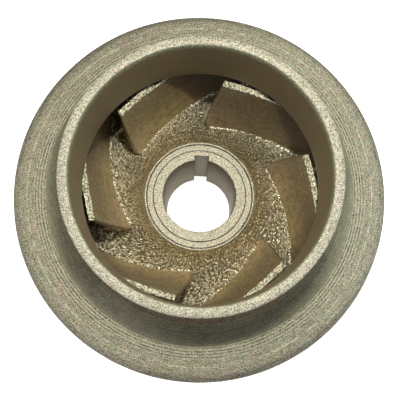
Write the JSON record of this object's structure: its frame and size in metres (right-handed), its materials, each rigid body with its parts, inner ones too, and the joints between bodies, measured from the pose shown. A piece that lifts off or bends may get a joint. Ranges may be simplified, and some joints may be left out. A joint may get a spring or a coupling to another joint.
{
  "type": "closed centrifugal pump impeller",
  "caption": "Closed bronze pump impeller with a turned suction neck, swept vanes between two shrouds and a keyed hub.",
  "frame": {"origin": "centre of the hub's back end face", "axes": "+Z along the shaft axis towards the suction eye, keyway towards +Y"},
  "size_m": [0.1524, 0.1524, 0.0931],
  "materials": {
    "turned_bronze": "turned cast bronze with fine bright speckle",
    "shroud_bronze": "turned cast bronze, grey-green, with concentric tool lines",
    "cast_bronze": "sand-cast bronze, rough and brown"
  },
  "bodies": {
    "root": {"hub": "turned_bronze", "suction_neck": "turned_bronze", "front_shroud": "shroud_bronze", "back_shroud": "cast_bronze", "vane_1": "cast_bronze", "vane_2": "cast_bronze", "vane_3": "cast_bronze", "vane_4": "cast_bronze", "vane_5": "cast_bronze", "vane_6": "cast_bronze"}
  },
  "joints": []
}
